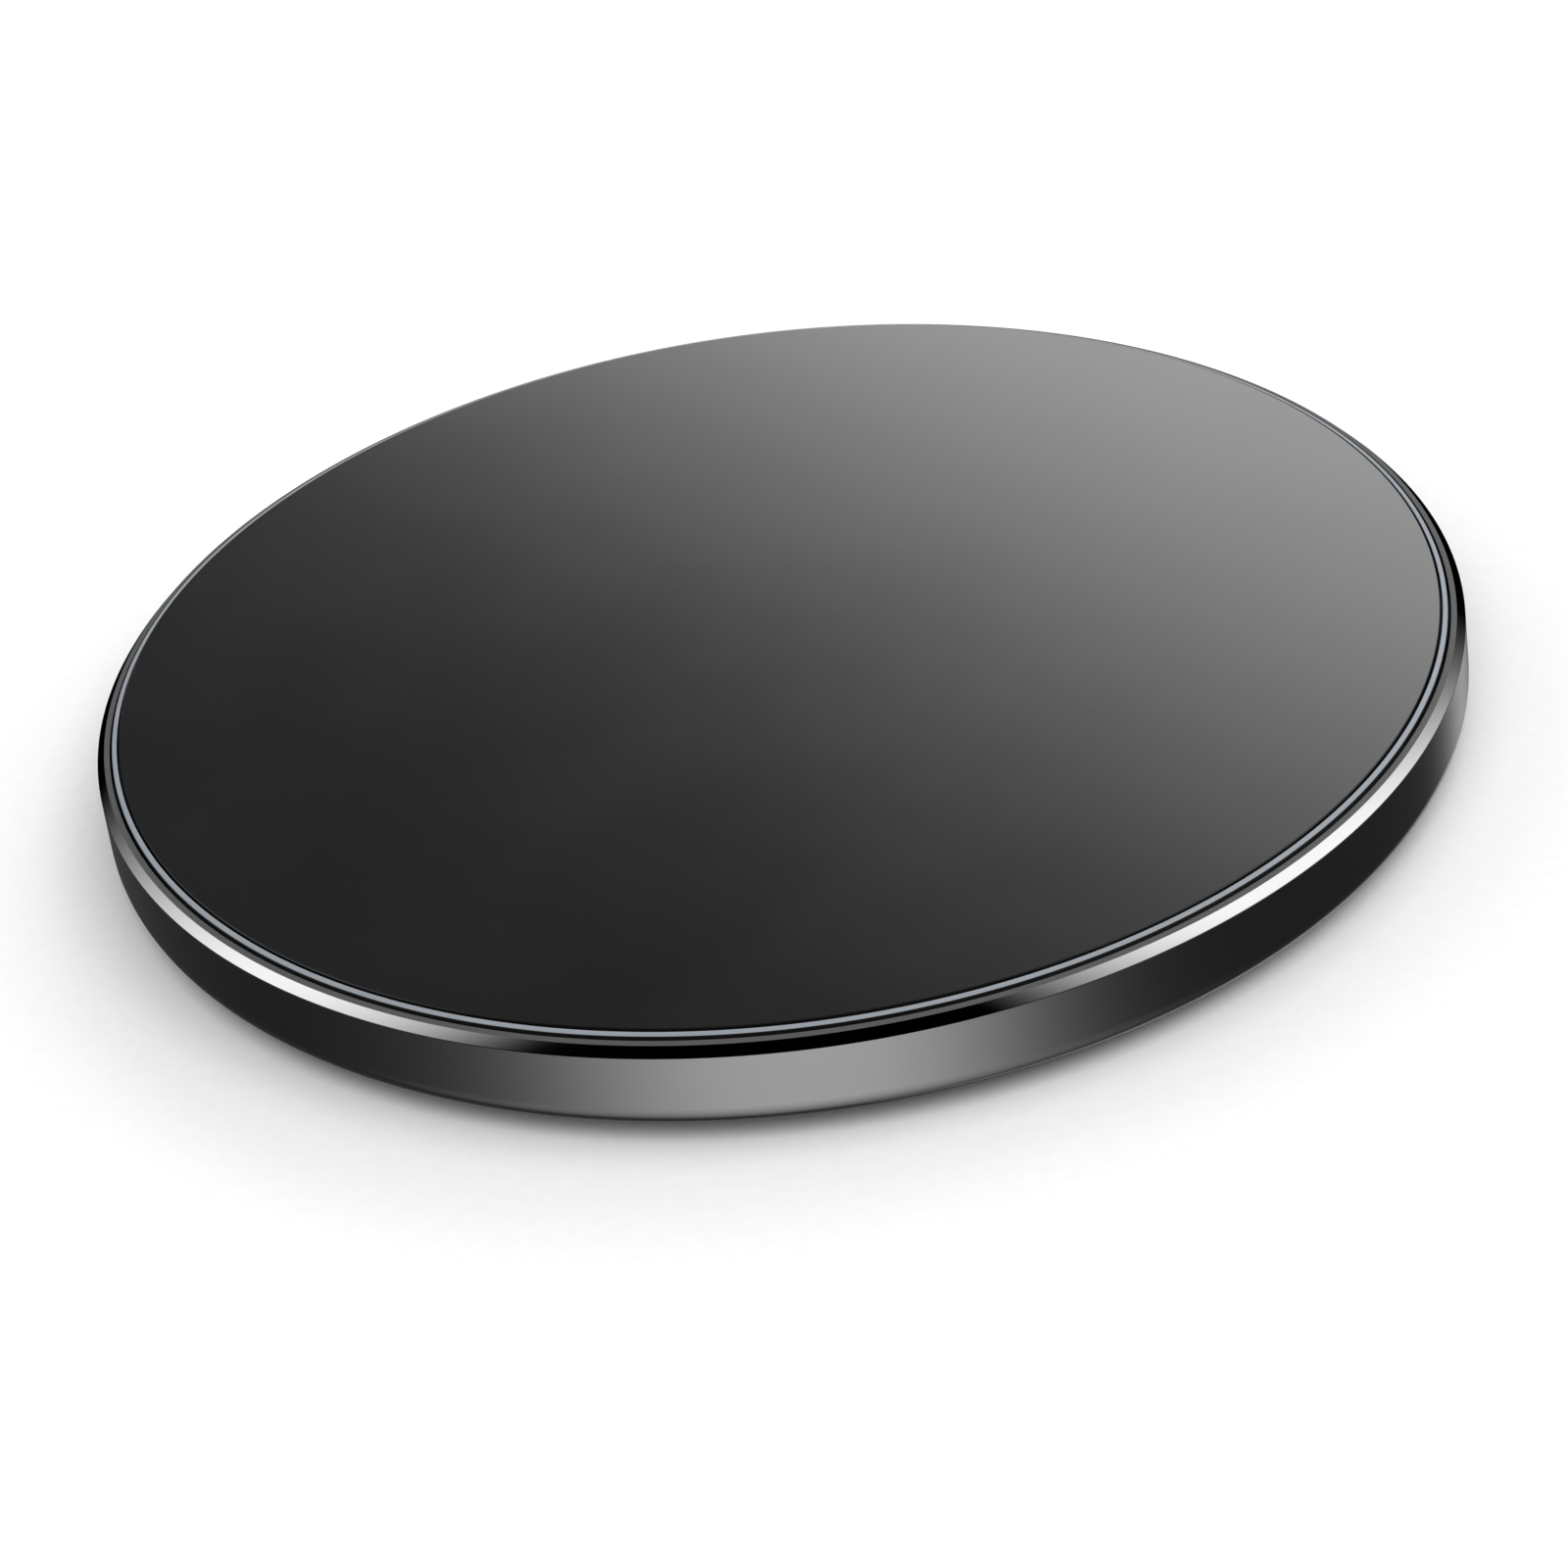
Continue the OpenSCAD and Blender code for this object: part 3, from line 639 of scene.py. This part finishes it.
def foot_pad():
    """Silicone foot ring with soft lower edges and three rounded grip grooves."""
    inner = FOOT_R - FOOT_W
    grip_edge = 0.06
    corners = [(inner, FOOT_TOP, FINE), (inner, 0, SOFT)]
    for i in range(3):
        middle = (inner + FOOT_R) / 2 + (i - 1) * GRIP_PITCH
        near, far = middle - GRIP_W / 2, middle + GRIP_W / 2
        for r, z in ((near, 0), (near, GRIP_DEPTH), (far, GRIP_DEPTH), (far, 0)):
            corners.append((r, z, grip_edge))
    corners += [(FOOT_R, 0, SOFT), (FOOT_R, FOOT_TOP, FINE)]
    obj = turned("foot_pad", rounded(corners), steps=FOOT_STEPS)
    give(obj, made["foot_silicone"])
    smooth(obj)
    return stands_for(obj, "foot_ring")


def foam_cushion():
    """Foam disc under the coil carrier, squeezed a little, so that its side bulges."""
    low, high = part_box("foam_pad")
    z0, z1, radius = low.z / MM, high.z / MM, high.x / MM
    pull_in = 0.35
    outline = rounded(
        [
            (0, z0, 0),
            (radius - pull_in, z0, 0.1),
            (radius, z0 + SOFT, 0.2),
            (radius, z1 - SOFT, 0.2),
            (radius - pull_in, z1, 0.1),
            (0, z1, 0),
        ],
        loop=False,
    )
    obj = turned("foam_cushion", outline, loop=False, steps=INNER_STEPS)
    give(obj, made["foam"])
    smooth(obj, 60)
    stands_for(obj, "foam_pad")
    return obj


def carry_over():
    """Gives each CAD node that stays its slot's finish, and softens the inlet shell's edges."""
    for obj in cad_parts.values():
        if obj.hide_render:
            continue
        slot_name = obj.data.materials[0].name.split(".")[0]
        give(obj, made[slot_name])
    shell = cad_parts["usb_shell"]
    bevel = shell.modifiers.new("soft_edges", "BEVEL")
    bevel.width = 0.06 * MM
    bevel.segments = 2
    bevel.limit_method = "ANGLE"
    bevel.angle_limit = math.radians(40)


# ---- studio ----

LENS_MM = 126.0
SENSOR_MM = 36.0
CAMERA_REACH = 0.4  # metres from the point it turns about
CAMERA_TARGET_Z = 7.89
CAMERA_ELEVATION = math.radians(30.82)
CAMERA_ROLL = math.radians(-8.0)
CAMERA_PAN = -0.00185
CAMERA_TILT = -0.02558
FLOOR_R = 6.0
FLOOR_DROP = 0.00002  # keeps the floor just clear of the foot ring
BACKDROP_GLOW = 1.0


def camera():
    """The camera at the photograph's viewing angle: about 31 degrees up, rolled 8 degrees."""
    target = Vector((0, 0, CAMERA_TARGET_Z * MM))
    back = Vector((0, -math.cos(CAMERA_ELEVATION), math.sin(CAMERA_ELEVATION)))
    ahead = -back
    right = Vector((1, 0, 0))
    up = right.cross(ahead)
    right, ahead = (
        right * math.cos(CAMERA_PAN) - ahead * math.sin(CAMERA_PAN),
        right * math.sin(CAMERA_PAN) + ahead * math.cos(CAMERA_PAN),
    )
    up, ahead = (
        up * math.cos(CAMERA_TILT) - ahead * math.sin(CAMERA_TILT),
        up * math.sin(CAMERA_TILT) + ahead * math.cos(CAMERA_TILT),
    )
    cos_r, sin_r = math.cos(CAMERA_ROLL), math.sin(CAMERA_ROLL)
    right, up = right * cos_r + up * sin_r, up * cos_r - right * sin_r
    data = bpy.data.cameras.new("camera")
    data.lens = LENS_MM
    data.sensor_width = SENSOR_MM
    data.clip_start = 0.01
    data.clip_end = 20
    obj = bpy.data.objects.new("camera", data)
    bpy.context.scene.collection.objects.link(obj)
    matrix = Matrix((right, up, -ahead)).transposed().to_4x4()
    matrix.translation = target + back * CAMERA_REACH
    obj.matrix_world = matrix
    bpy.context.scene.camera = obj


def floor():
    """A wide pale floor that can be seen through from below, and the backdrop far behind it."""
    bm = bmesh.new()
    bmesh.ops.create_circle(bm, cap_ends=True, segments=96, radius=FLOOR_R)
    obj = as_object("floor", bm)
    obj.location.z = -FLOOR_DROP
    mat, tree, bsdf = shader("floor_paper", (0.86, 0.86, 0.86), 0.0, 0.9)
    bsdf.inputs["Specular IOR Level"].default_value = 0.0
    grain = noise(tree, object_point(tree), 900, 3)
    two_tone(tree, bsdf, grain, (0.85, 0.85, 0.85), (0.87, 0.87, 0.87))
    clear = tree.nodes.new("ShaderNodeBsdfTransparent")
    choose = tree.nodes.new("ShaderNodeMixShader")
    facing = tree.nodes.new("ShaderNodeNewGeometry").outputs["Backfacing"]
    tree.links.new(facing, choose.inputs["Fac"])
    tree.links.new(bsdf.outputs[0], choose.inputs[1])
    tree.links.new(clear.outputs[0], choose.inputs[2])
    tree.links.new(choose.outputs[0], tree.nodes["Material Output"].inputs["Surface"])
    give(obj, mat)
    obj.visible_glossy = False
    obj.visible_diffuse = False
    obj.visible_shadow = False
    backdrop = surround()


def surround():
    """A plain pale backdrop all round, seen only by the camera."""
    bm = bmesh.new()
    bmesh.ops.create_uvsphere(bm, u_segments=64, v_segments=32, radius=FLOOR_R)
    obj = as_object("backdrop", bm)
    mat = bpy.data.materials.new("backdrop_paper")
    mat.use_nodes = True
    tree = mat.node_tree
    tree.nodes.remove(tree.nodes["Principled BSDF"])
    glow = tree.nodes.new("ShaderNodeEmission")
    glow.inputs["Color"].default_value = (*grey(BACKDROP_GLOW), 1)
    tree.links.new(glow.outputs[0], tree.nodes["Material Output"].inputs["Surface"])
    give(obj, mat)
    obj.data.shade_smooth()
    for ray in ("diffuse", "glossy", "transmission", "volume_scatter", "shadow"):
        setattr(obj, "visible_" + ray, False)
    return obj


def soft_sun(name, energy, spread, azimuth, elevation):
    """A very soft distant light that doesn't show in reflections."""
    data = bpy.data.lights.new(name, "SUN")
    data.energy = energy
    data.angle = math.radians(spread)
    obj = bpy.data.objects.new(name, data)
    bpy.context.scene.collection.objects.link(obj)
    a, e = math.radians(azimuth), math.radians(elevation)
    source = Vector((math.sin(a) * math.cos(e), -math.cos(a) * math.cos(e), math.sin(e)))
    obj.rotation_euler = source.to_track_quat("Z", "Y").to_euler()
    obj.visible_glossy = False


def lights():
    """A soft key from above, low fills that open the shadow under the rim, and one from below."""
    soft_sun("key", 2.05, 75, 30, 76)
    for name, azimuth in (("fill_front", -10), ("fill_right", 110), ("fill_left", 230)):
        soft_sun(name, 0.5, 50, azimuth, 24)
    soft_sun("underside", 0.7, 60, 20, -48)


def toward(tree, direction, azimuth):
    """Degrees of azimuth from the given one, which counts from -Y towards +X."""
    a = math.radians(azimuth)
    parts = []
    for axis in ((math.cos(a), math.sin(a), 0), (math.sin(a), -math.cos(a), 0)):
        dot = tree.nodes.new("ShaderNodeVectorMath")
        dot.operation = "DOT_PRODUCT"
        tree.links.new(direction, dot.inputs[0])
        dot.inputs[1].default_value = axis
        parts.append(dot.outputs["Value"])
    return math_node(tree, "DEGREES", math_node(tree, "ARCTAN2", *parts))


# The room round the pad. Elevations are in degrees, and so are azimuths, which count from -Y towards +X.
# A pair of numbers is where a soft edge starts and ends.
HORIZON_EDGE = (-26, -21)
LOW_LEVEL = 0.078
FRONT_X = -0.095
FRONT_HALF_W = 0.528
FRONT_EDGE = 3.0  # power of its falling edge
FRONT_FADE = (-0.86, 0.16)  # along y, as the light grows weaker backwards
FRONT_LEVEL = 2.9
BEHIND_AZIMUTH = 151
BEHIND_HALF_W = 11.5
BEHIND_EDGE = 2.0
BEHIND_LEVEL = 0.64
CARD_TOP_EDGE = (56, 70)
RIGHT_CARD = ((29, 77.5), (94.5, 140.5), 1.02)  # its two edges and its level
LEFT_CARD = ((-143.5, -99.5), (-97.5, -51.5), 0.98)
BOX_LOW_EDGE = (14, 22)
BOX_SIDE_EDGE = (26, 58)  # to either side of straight behind
BOX_LEAN = 0.618  # share of y in the direction that its grade runs
BOX_GRADE = (0.603, 1.345)
BOX_GRADE_POWER = 4.18
BOX_LEVEL = 3.526
ROOM_FADE = (-0.38, 0.1)
ROOM_LEVEL = 0.098
LEAST_Z = 0.05  # keeps the grade's division clear of the horizon


def studio():
    """Soft surroundings: dark below, a tall pale card at each side, and a graded soft box above behind."""
    world = bpy.data.worlds.new("studio")
    world.use_nodes = True
    bpy.context.scene.world = world
    tree = world.node_tree
    direction = tree.nodes.new("ShaderNodeTexCoord").outputs["Generated"]
    parts = tree.nodes.new("ShaderNodeSeparateXYZ")
    tree.links.new(direction, parts.inputs[0])
    x, y, z = parts.outputs
    elevation = math_node(tree, "DEGREES", math_node(tree, "ARCSINE", z))

    def rise(value, edge):
        return mapped(tree, value, *edge, 0.0, 1.0, "SMOOTHSTEP")

    def fall(value, edge):
        return mapped(tree, value, *edge, 1.0, 0.0, "SMOOTHSTEP")

    def times(*values):
        return chain("MULTIPLY", values)

    def plus(*values):
        return chain("ADD", values)

    def chain(operation, values):
        total = values[0]
        for value in values[1:]:
            total = math_node(tree, operation, total, value)
        return total

    def away(value):
        return math_node(tree, "ABSOLUTE", value)

    def hump(distance, half_width, power):
        share = math_node(tree, "POWER", math_node(tree, "DIVIDE", distance, half_width), power)
        return math_node(tree, "EXPONENT", times(share, -1))

    def card(azimuth, near_edge, far_edge, level):
        return times(rise(azimuth, near_edge), fall(azimuth, far_edge), level)

    # below the horizon: dark, with a broad soft light low in front and a narrow one behind on the right
    below = fall(elevation, HORIZON_EDGE)
    front = hump(away(math_node(tree, "SUBTRACT", x, FRONT_X)), FRONT_HALF_W, FRONT_EDGE)
    front = times(front, mapped(tree, y, *FRONT_FADE, 1.0, 0.0))
    behind = hump(away(toward(tree, direction, BEHIND_AZIMUTH)), BEHIND_HALF_W, BEHIND_EDGE)
    low_light = plus(LOW_LEVEL, times(front, FRONT_LEVEL), times(behind, BEHIND_LEVEL))

    # at the sides: two tall pale cards, with the dark room between them in front
    card_height = times(rise(elevation, HORIZON_EDGE), fall(elevation, CARD_TOP_EDGE))
    azimuth = toward(tree, direction, 0)
    cards = times(card_height, plus(card(azimuth, *RIGHT_CARD), card(azimuth, *LEFT_CARD)))

    # above and behind: a graded soft box, dark at the left and bright at the right
    leaning = plus(x, times(y, BOX_LEAN))
    slope = math_node(tree, "DIVIDE", leaning, math_node(tree, "MAXIMUM", z, LEAST_Z))
    grade = math_node(tree, "POWER", rise(slope, BOX_GRADE), BOX_GRADE_POWER)
    reach = fall(away(toward(tree, direction, 180)), BOX_SIDE_EDGE)
    room = times(rise(y, ROOM_FADE), ROOM_LEVEL)
    sky = times(rise(elevation, BOX_LOW_EDGE), plus(room, times(grade, reach, BOX_LEVEL)))

    total = plus(times(below, low_light), math_node(tree, "MAXIMUM", cards, sky))
    background = tree.nodes["Background"]
    tree.links.new(total, background.inputs["Color"])


made = finishes()
camera()
frame_shell()
light_guide_ring()
glass_disc()
foot_pad()
foam_cushion()
carry_over()
floor()
lights()
studio()
bpy.context.scene.view_settings.view_transform = "Standard"
